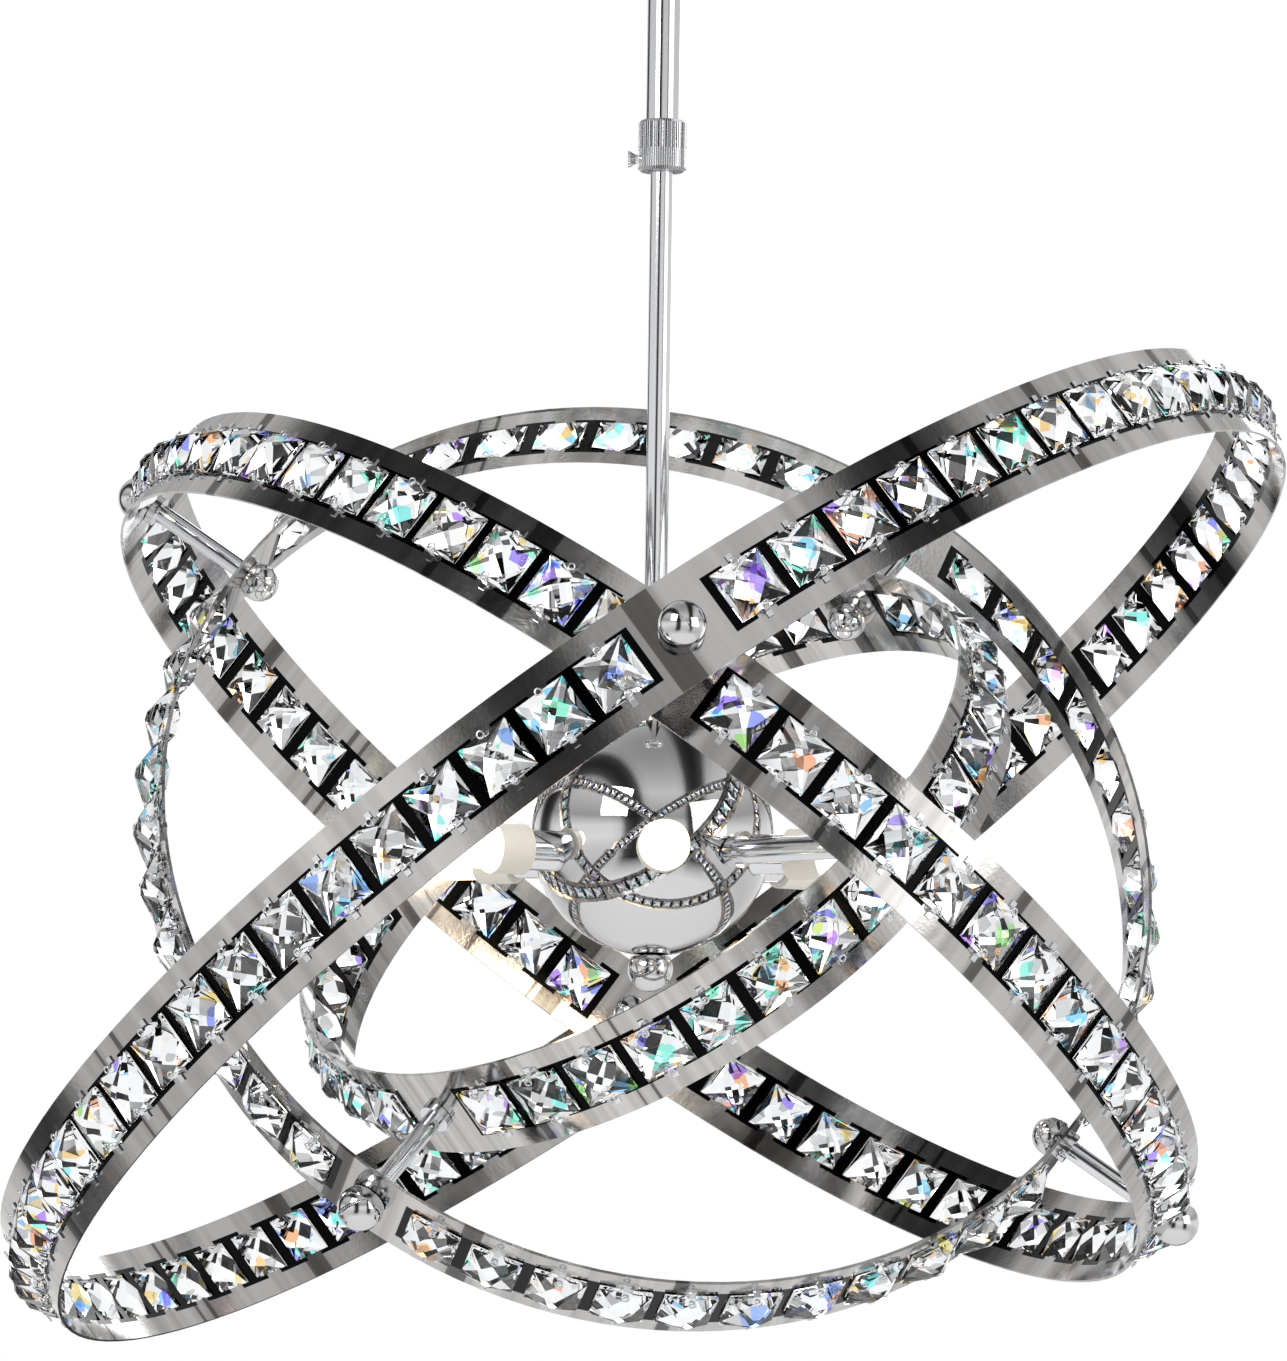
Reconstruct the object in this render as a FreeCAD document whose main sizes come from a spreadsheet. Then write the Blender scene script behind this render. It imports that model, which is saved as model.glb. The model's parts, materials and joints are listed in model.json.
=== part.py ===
"""Orb chandelier: four tilting crystal rings round a ball hub, on a telescopic ceiling stem.

Lengths are millimetres and angles degrees. +Z is up. The origin lies on the ceiling, on the
stem's axis, so the whole lamp hangs below z = 0. Azimuths run from -Y towards +X.

Every ring is a chromed strip rolled into a hoop. It is drawn in its own frame: X is the axis that
the ring tilts on, Z is the hoop's axis, and the next ring outwards hangs on its Y axis. The four
hoops share one centre, the orb's centre, which is also the level of the lamps.
"""
import FreeCAD, Part
import math
import os
from FreeCAD import Placement, Rotation, Vector

DRIVING = {
    # Ceiling cover and bracket
    "dish_radius": 60.0,
    "dish_height": 25.0,
    "dish_wall": 1.0,
    "dish_edge_radius": 8.0,
    "bracket_length": 104.0,
    "bracket_width": 24.0,
    "bracket_thickness": 2.5,
    "ceiling_hole_spacing": 60.0,
    "ceiling_hole_radius": 2.5,
    "stud_spacing": 90.0,
    "stud_radius": 2.0,
    "stud_end_length": 5.0,
    "stud_clearance": 0.2,
    "cap_nut_radius": 6.0,
    "terminal_length": 28.0,
    "terminal_width": 16.0,
    "terminal_height": 9.0,
    "wire_hole_radius": 1.8,
    # Stem
    "nipple_radius": 5.0,
    "nipple_bore": 3.5,
    "stem_nut_radius": 8.0,
    "stem_nut_height": 5.0,
    "nipple_top": 3.5,
    "ferrule_radius": 10.0,
    "ferrule_height": 12.0,
    "ferrule_seat": 4.0,
    "plug_height": 14.0,
    "upper_tube_radius": 6.65,
    "upper_tube_wall": 1.0,
    "upper_tube_shown": 260.0,
    "collar_radius": 9.7,
    "collar_height": 20.5,
    "collar_lip": 2.0,
    "collar_chamfer": 1.2,
    "knurl_depth": 0.35,
    "knurl_width": 1.0,
    "bush_height": 12.0,
    "lower_tube_radius": 4.55,
    "lower_tube_wall": 0.9,
    "lower_tube_shown": 265.5,
    "head_thickness": 2.0,
    "head_spigot": 5.0,
    "head_bore": 2.5,
    "clip_ring_thickness": 1.0,
    "stop_gap": 1.0,
    "running_clearance": 0.05,
    "end_float": 0.3,
    # Thumb screw
    "thumb_height": 5.0,
    "thumb_shank_radius": 1.95,
    "thumb_neck_gap": 0.9,
    "thumb_head_radius": 3.3,
    "thumb_head_length": 3.0,
    # Hub
    "hub_radius": 48.0,
    "hub_wall": 1.2,
    "hub_rise": 8.5,
    "hub_nut_radius": 6.5,
    "hub_nut_height": 4.0,
    "core_radius": 24.0,
    "core_height": 16.0,
    "core_shelf": 6.0,
    "thread_radius": 3.0,
    "thread_start": 18.0,
    "finial_radius": 9.0,
    "finial_offset": 5.0,
    "nut_thread_depth": 8.0,
    "hole_clearance": 0.1,
    # Lamps
    "lamp_azimuth": 3.6,
    "neck_radius": 8.0,
    "neck_wall": 1.0,
    "neck_start": 43.0,
    "neck_end": 61.0,
    "neck_floor": 2.0,
    "arm_bore": 2.0,
    "arm_overhang": 7.0,
    "arm_nut_radius": 5.5,
    "arm_nut_height": 3.5,
    "holder_radius": 10.0,
    "holder_length": 15.0,
    "holder_spigot": 6.0,
    "bulb_radius": 8.25,
    "bulb_base_radius": 6.5,
    "bulb_base_length": 4.0,
    "bulb_gap": 0.2,
    "bulb_reach": 105.0,
    "pin_radius": 0.6,
    "pin_hole_radius": 0.85,
    "pin_spacing": 5.0,
    "pin_length": 8.0,
    # Rings
    "inner_ring_radius": 151.0,
    "ring_step": 48.0,
    "band_width": 40.0,
    "band_thickness": 1.2,
    "plate_length": 30.0,
    "crystal_pitch": 25.5,
    "crystal_side": 21.0,
    "crystal_lift": 0.3,
    "girdle_height": 1.2,
    "crown_height": 6.8,
    "crown_table": 2.0,
    "pavilion_depth": 5.0,
    "pavilion_table": 5.0,
    "window_length": 20.5,
    "window_width": 20.5,
    "prong_width": 2.4,
    "prong_thickness": 0.6,
    "prong_foot": 3.2,
    "prong_gap": 0.3,
    "prong_reach": 1.3,
    # Ring pivots
    "hub_rod_radius": 5.0,
    "hub_flange_radius": 6.25,
    "hub_flange_length": 5.0,
    "rod_radius": 3.75,
    "washer_radius": 6.25,
    "washer_length": 3.0,
    "seat_gap": 0.2,
    "outer_ball_radius": 9.0,
    "inner_ball_radius": 7.8,
    "ball_offset": 4.75,
    # Pose in the photograph: the first ring's pivot azimuth, then each ring's tilt
    "pivot_azimuth": 42.0,
    "tilt_first": 44.0,
    "tilt_second": -128.5,
    "tilt_third": -72.5,
    "tilt_fourth": -109.4,
}
LAMP_COUNT = 6
KNURL_COUNT = 40
TERMINAL_POLES = 3
RING_NAMES = ("first_ring", "second_ring", "third_ring", "fourth_ring")
TILT_NAMES = ("tilt_first", "tilt_second", "tilt_third", "tilt_fourth")

doc = FreeCAD.newDocument("OrbChandelier")
sheet = doc.addObject("Spreadsheet::Sheet", "Sizes")
for row, (word, amount) in enumerate(DRIVING.items(), start=1):
    sheet.set(f"A{row}", word)
    sheet.set(f"B{row}", str(amount))
    sheet.setAlias(f"B{row}", word)
doc.recompute()

nodes = {}


class Size:
    """A length or angle that keeps its number together with the sheet formula it comes from."""

    def __init__(self, number, formula):
        self.number = float(number)
        self.formula = formula

    @staticmethod
    def of(value):
        return value if isinstance(value, Size) else Size(value, f"{value}")

    def joined(self, other, sign, number):
        return Size(number, f"({self.formula} {sign} {Size.of(other).formula})")

    def __add__(self, other):
        return self.joined(other, "+", self.number + Size.of(other).number)

    def __sub__(self, other):
        return self.joined(other, "-", self.number - Size.of(other).number)

    def __mul__(self, other):
        return self.joined(other, "*", self.number * Size.of(other).number)

    def __truediv__(self, other):
        return self.joined(other, "/", self.number / Size.of(other).number)

    def __neg__(self):
        return Size(-self.number, f"(-1 * {self.formula})")

    def floor(self):
        return Size(math.floor(self.number), f"floor({self.formula})")

    def arcsine(self):
        return Size(math.degrees(math.asin(self.number)), f"asin({self.formula})")

    def __float__(self):
        return self.number


def size(word):
    """The sheet's value under this alias."""
    return Size(sheet.get(word), f"Sizes.{word}")


def bind(feature, **properties):
    """Tie properties of a feature to the sheet."""
    for name, value in properties.items():
        setattr(feature, name, Size.of(value).number)
        if isinstance(value, Size):
            feature.setExpression(name, value.formula)
    return feature


def up(height):
    """A placement on the stem's axis at this height."""
    return Placement(Vector(0, 0, float(height)), Rotation())


def node(name, feature, place=None):
    """Register a feature as a sub-part under its own name."""
    feature.Label = name
    if place is not None:
        feature.Placement = place
    nodes[name] = feature
    return feature


# --- Shape helpers -------------------------------------------------------------------------------

def cylinder(radius, height, place=Placement()):
    feature = doc.addObject("Part::Cylinder", "Cylinder")
    bind(feature, Radius=radius, Height=height)
    feature.Placement = place
    return feature


def block(length, width, height, centre_floor=Vector()):
    """A box centred on centre_floor in X and Y, and standing on it."""
    feature = doc.addObject("Part::Box", "Box")
    bind(feature, Length=length, Width=width, Height=height)
    corner = Vector(-float(length) / 2, -float(width) / 2, 0)
    feature.Placement = Placement(centre_floor + corner, Rotation())
    return feature


def ball(radius, place=Placement(), flat_below=None):
    """A ball, cut flat at the distance flat_below under its centre where that is given."""
    feature = doc.addObject("Part::Sphere", "Ball")
    bind(feature, Radius=radius)
    if flat_below is not None:
        bind(feature, Angle1=-(flat_below / radius).arcsine())
    feature.Placement = place
    return feature


def cut(base, tool):
    feature = doc.addObject("Part::Cut", "Cut")
    feature.Base = base
    feature.Tool = tool
    return feature


def common(base, tool):
    feature = doc.addObject("Part::Common", "Common")
    feature.Base = base
    feature.Tool = tool
    return feature


def fuse(*shapes):
    feature = doc.addObject("Part::MultiFuse", "Fuse")
    feature.Shapes = list(shapes)
    return feature


def copies(master, places):
    """Separate copies of one master piece, each at its own place."""
    doc.recompute()
    feature = doc.addObject("Part::Feature", "Copies")
    solids = []
    for place in places:
        solid = master.Shape.copy()
        solid.Placement = place.multiply(master.Placement)
        solids.append(solid)
    feature.Shape = Part.makeCompound(solids)
    return feature


def origin_plane(body, role):
    return next(plane for plane in body.Origin.OriginFeatures if plane.Role == role)


def outline_sketch(body, role, points, turn=None):
    """A closed outline of straight sides on one of a body's origin planes, each corner dimensioned.

    turn swings the sketch plane about the body's Z axis, for a sketch on the YZ plane.
    """
    sketch = body.newObject("Sketcher::SketchObject", "Outline")
    sketch.AttachmentSupport = [(origin_plane(body, role), "")]
    sketch.MapMode = "FlatFace"
    if turn is not None:
        sketch.AttachmentOffset = Placement(Vector(), Rotation(Vector(0, 1, 0), float(turn)))
        sketch.setExpression("AttachmentOffset.Rotation.Angle", turn.formula)
    corners = [Vector(float(x), float(y), 0) for x, y in points]
    count = len(corners)
    for index in range(count):
        sketch.addGeometry(Part.LineSegment(corners[index], corners[(index + 1) % count]), False)
    import Sketcher
    for index in range(count):
        sketch.addConstraint(Sketcher.Constraint("Coincident", index, 2, (index + 1) % count, 1))
    for index, (x, y) in enumerate(points):
        for kind, value, axis in (("DistanceX", x, -2), ("DistanceY", y, -1)):
            if float(value) == 0:
                sketch.addConstraint(Sketcher.Constraint("PointOnObject", index, 1, axis))
                continue
            number = sketch.addConstraint(
                Sketcher.Constraint(kind, -1, 1, index, 1, float(value)))
            if isinstance(value, Size):
                sketch.setExpression(f"Constraints[{number}]", value.formula)
    return sketch


def turned(name, outline):
    """A piece turned about Z from its (radius, height) outline."""
    body = doc.addObject("PartDesign::Body", name)
    sketch = outline_sketch(body, "XZ_Plane", outline)
    spin = body.newObject("PartDesign::Revolution", "Turn")
    spin.Profile = sketch
    spin.ReferenceAxis = (sketch, ["V_Axis"])
    spin.Angle = 360.0
    body.Tip = spin
    return body


def ring_outline(inner, outer, floor, ceiling):
    """The section of a plain washer or tube."""
    return [(inner, floor), (outer, floor), (outer, ceiling), (inner, ceiling)]


def circular_edge(shape, radius, height):
    """The name of the full circle of this radius at this height."""
    for index, edge in enumerate(shape.Edges, start=1):
        curve = edge.Curve
        if curve.TypeId == "Part::GeomCircle" and edge.isClosed():
            if abs(curve.Radius - radius) < 0.01 and abs(curve.Center.z - height) < 0.01:
                return f"Edge{index}"
    raise ValueError(f"no circle of radius {radius} at height {height}")


# --- Named sizes that several pieces share -----------------------------------------------------------

float_gap = size("end_float")
running = size("running_clearance")
thread = size("thread_radius")
band = size("band_thickness")
dish_height = size("dish_height")
upper_radius = size("upper_tube_radius")
upper_bore = upper_radius - size("upper_tube_wall")
lower_radius = size("lower_tube_radius")
lower_bore = lower_radius - size("lower_tube_wall")
collar_height = size("collar_height")
collar_lip = size("collar_lip")
bush_bore = lower_radius + running
hub_radius = size("hub_radius")
core_height = size("core_height")
core_radius = size("core_radius")
core_shelf = size("core_shelf")

dish_floor_z = -float(dish_height)
ferrule_floor_z = dish_floor_z - float(size("ferrule_height"))
tube_top_z = dish_floor_z - float(size("ferrule_seat"))
plug_floor_z = tube_top_z - float(size("plug_height"))
collar_floor_z = ferrule_floor_z - float(size("upper_tube_shown")) - float(collar_height)
tube_floor_z = collar_floor_z + float(collar_lip)
hub_z = collar_floor_z - float(size("lower_tube_shown"))
orb_z = hub_z - float(size("hub_rise"))
core_floor_z = orb_z - float(core_height) / 2
tube_seat_z = core_floor_z + float(core_shelf)
lower_top_z = plug_floor_z - float(size("stop_gap")) - float(size("head_thickness"))
orb_centre = Vector(0, 0, orb_z)


def ring_radius(index):
    return size("inner_ring_radius") + size("ring_step") * index


def ring_place(index):
    """The frame of a ring: each one is turned a quarter on the last, then tilted on its own X."""
    turn = Rotation(Vector(0, 0, 1), float(size("pivot_azimuth")) - 90)
    for step in range(index + 1):
        if step:
            turn = turn * Rotation(Vector(0, 0, 1), 90)
        turn = turn * Rotation(Vector(1, 0, 0), float(size(TILT_NAMES[step])))
    return Placement(orb_centre, turn)


def outward(azimuth):
    """A frame at the orb's centre whose Z points along this azimuth."""
    return Placement(orb_centre, Rotation(Vector(0, 0, 1), azimuth - 90)
                     * Rotation(Vector(0, 1, 0), 90))


def both_ways(index):
    """Frames at the orb's centre whose Z points along plus and minus a ring's tilt axis."""
    frame = ring_place(index)
    return [frame * Placement(Vector(), Rotation(Vector(0, 1, 0), angle)) for angle in (90, -90)]


# --- Ceiling group -------------------------------------------------------------------------------

def make_bracket():
    """Flat steel bar on the ceiling, with two screw holes and two threaded stud holes."""
    thickness = size("bracket_thickness")
    bar = block(size("bracket_length"), size("bracket_width"), thickness,
                Vector(0, 0, -float(thickness)))
    holes = []
    for radius, spacing in (("ceiling_hole_radius", "ceiling_hole_spacing"),
                            ("stud_radius", "stud_spacing")):
        for side in (-1, 1):
            x = side * float(size(spacing)) / 2
            place = Placement(Vector(x, 0, -float(thickness)), Rotation())
            holes.append(cylinder(size(radius), thickness, place))
    return cut(bar, fuse(*holes))


def stud_places(height):
    spacing = float(size("stud_spacing"))
    return [Placement(Vector(side * spacing / 2, 0, height), Rotation()) for side in (-1, 1)]


def make_dish():
    """Chromed cover: a shallow dish with rounded edges, open at the ceiling."""
    wall = size("dish_wall")
    radius = size("dish_radius")
    edge_radius = size("dish_edge_radius")
    body = doc.addObject("PartDesign::Body", "canopy_dish")
    inner = radius - wall
    bore = size("nipple_radius") + size("stud_clearance")
    points = [(bore, 0), (radius, 0), (radius, dish_height), (inner, dish_height),
              (inner, wall), (bore, wall)]
    sketch = outline_sketch(body, "XZ_Plane", points)
    spin = body.newObject("PartDesign::Revolution", "Turn")
    spin.Profile = sketch
    spin.ReferenceAxis = (sketch, ["V_Axis"])
    spin.Angle = 360.0
    last = spin
    for rim, height, amount in ((radius, Size.of(0), edge_radius),
                                (inner, wall, edge_radius - wall)):
        doc.recompute()
        fillet = body.newObject("PartDesign::Fillet", "RoundedEdge")
        fillet.Base = (last, [circular_edge(last.Shape, float(rim), float(height))])
        bind(fillet, Radius=amount)
        last = fillet
    body.Tip = last
    body.Placement = up(dish_floor_z)
    holes = [cylinder(size("stud_radius") + size("stud_clearance"), wall, place)
             for place in stud_places(dish_floor_z)]
    return cut(body, fuse(*holes))


def make_terminal_block():
    """Insulating block under the bracket, with a row of wire holes along Y."""
    height = size("terminal_height")
    width = size("terminal_width")
    length = size("terminal_length")
    floor_z = -float(size("bracket_thickness")) - float(height)
    body = block(length, width, height, Vector(0, 0, floor_z))
    holes = []
    for pole in range(TERMINAL_POLES):
        x = float(length) * ((pole + 0.5) / TERMINAL_POLES - 0.5)
        place = Placement(Vector(x, -float(width) / 2, floor_z + float(height) / 2),
                          Rotation(Vector(1, 0, 0), -90))
        holes.append(cylinder(size("wire_hole_radius"), width, place))
    return cut(body, fuse(*holes))


def make_ball_nut(radius, offset, bore):
    """A ball nut with its flat at z = 0 and a blind threaded hole from that side."""
    dome = ball(radius, up(offset), flat_below=offset)
    return cut(dome, cylinder(bore, size("nut_thread_depth")))


def make_ceiling_group():
    node("ceiling_bracket", make_bracket())
    stud_length = dish_height + size("stud_end_length")
    stud = cylinder(size("stud_radius"), stud_length)
    node("canopy_studs", copies(stud, stud_places(-float(stud_length))))
    node("canopy_dish", make_dish())
    cap_radius = size("cap_nut_radius")
    cap = cut(ball(cap_radius, flat_below=cap_radius / 4, place=up(cap_radius / 4)),
              cylinder(size("stud_radius"), size("stud_end_length")))
    flipped = [place * Placement(Vector(), Rotation(Vector(1, 0, 0), 180))
               for place in stud_places(dish_floor_z)]
    node("canopy_cap_nuts", copies(cap, flipped))
    node("terminal_block", make_terminal_block())


# --- Stem ----------------------------------------------------------------------------------------

def make_collar():
    """Knurled clamp collar that holds the end of the upper tube and carries the thumb screw."""
    radius = size("collar_radius")
    chamfer = size("collar_chamfer")
    lip_bore = lower_radius + float_gap
    points = [(lip_bore, 0), (radius - chamfer, 0), (radius, chamfer),
              (radius, collar_height - chamfer), (radius - chamfer, collar_height),
              (upper_radius, collar_height), (upper_radius, collar_lip), (lip_bore, collar_lip)]
    body = turned("CollarBody", points)
    groove = size("knurl_depth")
    half = size("knurl_width") / 2
    lower = size("thumb_height") * 2 - chamfer
    sketch = outline_sketch(body, "XY_Plane", [
        (radius - groove, -half / 4), (radius + groove, -half), (radius + groove, half),
        (radius - groove, half / 4)])
    sketch.AttachmentOffset = up(lower)
    sketch.setExpression("AttachmentOffset.Base.z", lower.formula)
    pocket = body.newObject("PartDesign::Pocket", "Knurl")
    pocket.Profile = sketch
    bind(pocket, Length=collar_height - chamfer - lower)
    pocket.Reversed = True
    pattern = body.newObject("PartDesign::PolarPattern", "KnurlAround")
    pattern.Originals = [pocket]
    pattern.Axis = (sketch, ["N_Axis"])
    pattern.Angle = 360.0
    pattern.Occurrences = KNURL_COUNT
    body.Tip = pattern
    body.Placement = up(collar_floor_z)
    return cut(body, thumb_hole(size("thumb_shank_radius") + running))


def thumb_frame():
    """The thumb screw's frame: Z points out of the collar, along -X."""
    return Placement(Vector(0, 0, collar_floor_z + float(size("thumb_height"))),
                     Rotation(Vector(0, 1, 0), -90))


def thumb_hole(radius):
    return cylinder(radius, size("collar_radius") * 2, thumb_frame())


def make_stem():
    nipple_radius = size("nipple_radius")
    nut_height = size("stem_nut_height")
    dish_inner_z = dish_floor_z + float(size("dish_wall"))
    nut = doc.addObject("Part::Prism", "Nut")
    nut.Polygon = 6
    bind(nut, Circumradius=size("stem_nut_radius"), Height=nut_height)
    node("stem_nut", cut(nut, cylinder(nipple_radius, nut_height)), up(dish_inner_z))

    nipple_length = (size("dish_wall") + nut_height + size("nipple_top") + size("ferrule_seat")
                     + size("plug_height"))
    nipple = turned("stem_nipple", ring_outline(size("nipple_bore"), nipple_radius, 0,
                                                nipple_length))
    node("stem_nipple", nipple, up(plug_floor_z))

    seat = size("ferrule_height") - size("ferrule_seat")
    ferrule = turned("stem_ferrule", [
        (upper_radius, 0), (size("ferrule_radius") - 2, 0), (size("ferrule_radius"), 2),
        (size("ferrule_radius"), size("ferrule_height")), (nipple_radius, size("ferrule_height")),
        (nipple_radius, seat), (upper_radius, seat)])
    node("stem_ferrule", ferrule, up(ferrule_floor_z))

    plug = turned("tube_plug", ring_outline(nipple_radius, upper_bore, 0, size("plug_height")))
    node("tube_plug", plug, up(plug_floor_z))

    tube_length = (size("ferrule_height") - size("ferrule_seat") + size("upper_tube_shown")
                   + collar_height - collar_lip)
    clear_hole = size("thumb_shank_radius") + size("stud_clearance")
    tube = turned("UpperTubeBody", ring_outline(upper_bore, upper_radius, 0, tube_length))
    tube.Placement = up(tube_floor_z)
    node("upper_tube", cut(tube, thumb_hole(clear_hole)))
    node("clamp_collar", make_collar())
    bush = turned("BushBody", ring_outline(bush_bore, upper_bore, 0, size("bush_height")))
    bush.Placement = up(tube_floor_z)
    node("collar_bush", cut(bush, thumb_hole(clear_hole)))

    shank = size("thumb_shank_radius")
    tip = lower_radius + running
    neck = size("collar_radius") + size("thumb_neck_gap")
    reach = neck + size("thumb_head_length")
    head = size("thumb_head_radius")
    screw = turned("thumb_screw", [
        (0, tip), (shank, tip), (shank, neck), (head * 0.6, neck), (head, reach - 1),
        (head, reach), (0, reach)])
    node("thumb_screw", screw, thumb_frame())


def make_sliding_tube():
    """The lower tube and what keeps it in the upper one."""
    bush_height = size("bush_height")
    bush_floor_z = lower_top_z - float(float_gap) - float(bush_height)
    guide = turned("guide_bush", ring_outline(bush_bore, upper_bore - running, 0, bush_height))
    node("guide_bush", guide, up(bush_floor_z))

    flange = upper_bore - float_gap
    spigot = size("head_spigot")
    head = turned("tube_head", [
        (size("head_bore"), 0), (lower_bore, 0), (lower_bore, spigot), (flange, spigot),
        (flange, spigot + size("head_thickness")),
        (size("head_bore"), spigot + size("head_thickness"))])
    node("tube_head", head, up(lower_top_z - float(spigot)))

    clip_height = size("clip_ring_thickness")
    clip = turned("retaining_ring", ring_outline(lower_radius, flange, 0, clip_height))
    node("retaining_ring", clip, up(bush_floor_z - float(float_gap) - float(clip_height)))

    # From the plug's floor down to the collar, along the shown length and into the hub's core.
    length = (size("ferrule_height") - size("ferrule_seat") - size("plug_height")
              + size("upper_tube_shown") + collar_height
              - size("stop_gap") - size("head_thickness")
              + size("lower_tube_shown") + size("hub_rise") + core_height / 2 - core_shelf)
    tube = turned("lower_tube", ring_outline(lower_bore, lower_radius, 0, length))
    node("lower_tube", tube, up(tube_seat_z))


# --- Hub and lamps ---------------------------------------------------------------------------------

def lamp_places():
    first = float(size("lamp_azimuth"))
    return [outward(first + 360.0 * index / LAMP_COUNT) for index in range(LAMP_COUNT)]


def along(places, distance):
    """The same frames, moved out along their own Z."""
    return [place * up(distance) for place in places]


def make_hub_shells():
    """Two halves of a thin ball, parted at the level of the lamps."""
    wall = size("hub_wall")
    clearance = size("hole_clearance")
    reach = hub_radius * 2
    openings = [cylinder(lower_radius + clearance, reach, up(hub_z)),
                cylinder(thread + clearance, reach, up(hub_z - float(reach)))]
    openings.append(copies(cylinder(size("neck_radius") + clearance, reach), lamp_places()))
    openings.append(copies(cylinder(size("hub_rod_radius") + clearance, reach), both_ways(0)))
    for name, floor_z in (("hub_upper_shell", orb_z), ("hub_lower_shell", orb_z - float(reach))):
        skin = cut(ball(hub_radius, up(hub_z)), ball(hub_radius - wall, up(hub_z)))
        half = common(skin, block(reach, reach, reach, Vector(0, 0, floor_z)))
        for opening in openings:
            half = cut(half, opening)
        node(name, half)


def make_hub_core():
    """Solid boss at the orb's centre that the tube, the lamp arms and the first pivots screw into."""
    barrel = cylinder(core_radius, core_height, up(core_floor_z))
    depth = core_radius - size("thread_start")
    start = size("thread_start")
    tools = [cylinder(lower_radius, core_height - core_shelf, up(tube_seat_z)),
             cylinder(thread, core_height, up(core_floor_z)),
             copies(cylinder(thread, depth * 2, up(start)), lamp_places() + both_ways(0))]
    for tool in tools:
        barrel = cut(barrel, tool)
    node("hub_core", barrel)

    pole_z = hub_z - float(hub_radius)
    finial_z = pole_z - float(size("hole_clearance"))
    rod_length = (core_shelf - core_height / 2 + hub_radius - size("hub_rise")
                  + size("hole_clearance") + size("nut_thread_depth"))
    rod_floor_z = finial_z - float(size("nut_thread_depth"))
    node("through_rod", cylinder(thread, rod_length, up(rod_floor_z)))
    finial = make_ball_nut(size("finial_radius"), size("finial_offset"), thread)
    node("finial_nut", finial,
         Placement(Vector(0, 0, finial_z), Rotation(Vector(1, 0, 0), 180)))
    nut_height = size("hub_nut_height")
    top_nut = turned("hub_top_nut", [
        (lower_radius, 0), (size("hub_nut_radius"), 0), (size("hub_nut_radius"), nut_height / 2),
        (size("hub_nut_radius") - 1, nut_height), (lower_radius, nut_height)])
    node("hub_top_nut", top_nut, up(hub_z + float(hub_radius)))


def make_lamps():
    places = lamp_places()
    start = size("thread_start")
    neck_start = size("neck_start")
    neck_end = size("neck_end")
    neck_floor = size("neck_floor")
    arm_end = neck_start + size("arm_overhang")
    arm = turned("LampArm", ring_outline(size("arm_bore"), thread, start, arm_end))
    node("lamp_arms", copies(arm, places))

    neck_radius = size("neck_radius")
    neck_bore = neck_radius - size("neck_wall")
    neck = turned("LampNeck", [
        (thread, neck_start), (neck_radius, neck_start), (neck_radius, neck_end),
        (neck_bore, neck_end), (neck_bore, neck_start + neck_floor),
        (thread, neck_start + neck_floor)])
    node("lamp_necks", copies(neck, places))

    nut = doc.addObject("Part::Prism", "ArmNut")
    nut.Polygon = 6
    bind(nut, Circumradius=size("arm_nut_radius"), Height=size("arm_nut_height"))
    nut_ring = cut(nut, cylinder(thread, size("arm_nut_height")))
    node("lamp_arm_nuts", copies(nut_ring, along(places, neck_start + neck_floor)))

    holder_end = neck_end + size("holder_length")
    holder = fuse(cylinder(neck_bore, size("holder_spigot"), up(neck_end - size("holder_spigot"))),
                  cylinder(size("holder_radius"), size("holder_length"), up(neck_end)))
    pin_length = size("pin_length")
    pin_foot = holder_end - pin_length
    spots = [Vector(0, side * float(size("pin_spacing")) / 2, float(pin_foot)) for side in (-1, 1)]
    sockets = [cylinder(size("pin_hole_radius"), pin_length, Placement(spot, Rotation()))
               for spot in spots]
    node("lamp_holders", copies(cut(holder, fuse(*sockets)), places))

    pins = [place * Placement(spot + Vector(0, 0, 0.5), Rotation())
            for place in places for spot in spots]
    node("bulb_pins", copies(cylinder(size("pin_radius"), pin_length - 0.5 + size("bulb_gap")),
                             pins))
    base_start = holder_end + size("bulb_gap")
    body_start = base_start + size("bulb_base_length")
    radius = size("bulb_radius")
    dome_centre = size("bulb_reach") - radius
    bulb = fuse(cylinder(size("bulb_base_radius"), size("bulb_base_length"), up(base_start)),
                cylinder(radius, dome_centre - body_start, up(body_start)),
                ball(radius, up(dome_centre)))
    node("bulbs", copies(bulb, places))


# --- Rings ---------------------------------------------------------------------------------------

def arcs_of(index):
    """How many windowed arcs a ring has: the outermost carries nothing, so it needs two plates."""
    return 2 if index == len(RING_NAMES) - 1 else 4


def window_count(index):
    """The whole number of crystals that fits on one arc between two plates."""
    arc = ring_radius(index) * (2 * math.pi / arcs_of(index))
    return ((arc - size("plate_length")) / size("crystal_pitch")).floor()


def crystal_angles(index):
    """Ring angles of all crystals, centred on each arc."""
    count = int(float(window_count(index)))
    step = math.degrees(float(size("crystal_pitch") / ring_radius(index)))
    span = 360.0 / arcs_of(index)
    return [span * (arc + 0.5) + step * (place - (count - 1) / 2)
            for arc in range(arcs_of(index)) for place in range(count)]


def ring_side(index, angle, height, turn=0):
    """A frame on the strip's outside: Z points outwards and X along the hoop's axis."""
    outside = float(ring_radius(index) + band / 2) + height
    return (Placement(Vector(), Rotation(Vector(0, 0, 1), angle))
            * Placement(Vector(outside, 0, 0), Rotation(Vector(0, 1, 0), 90))
            * Placement(Vector(), Rotation(Vector(0, 0, 1), turn)))


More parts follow.
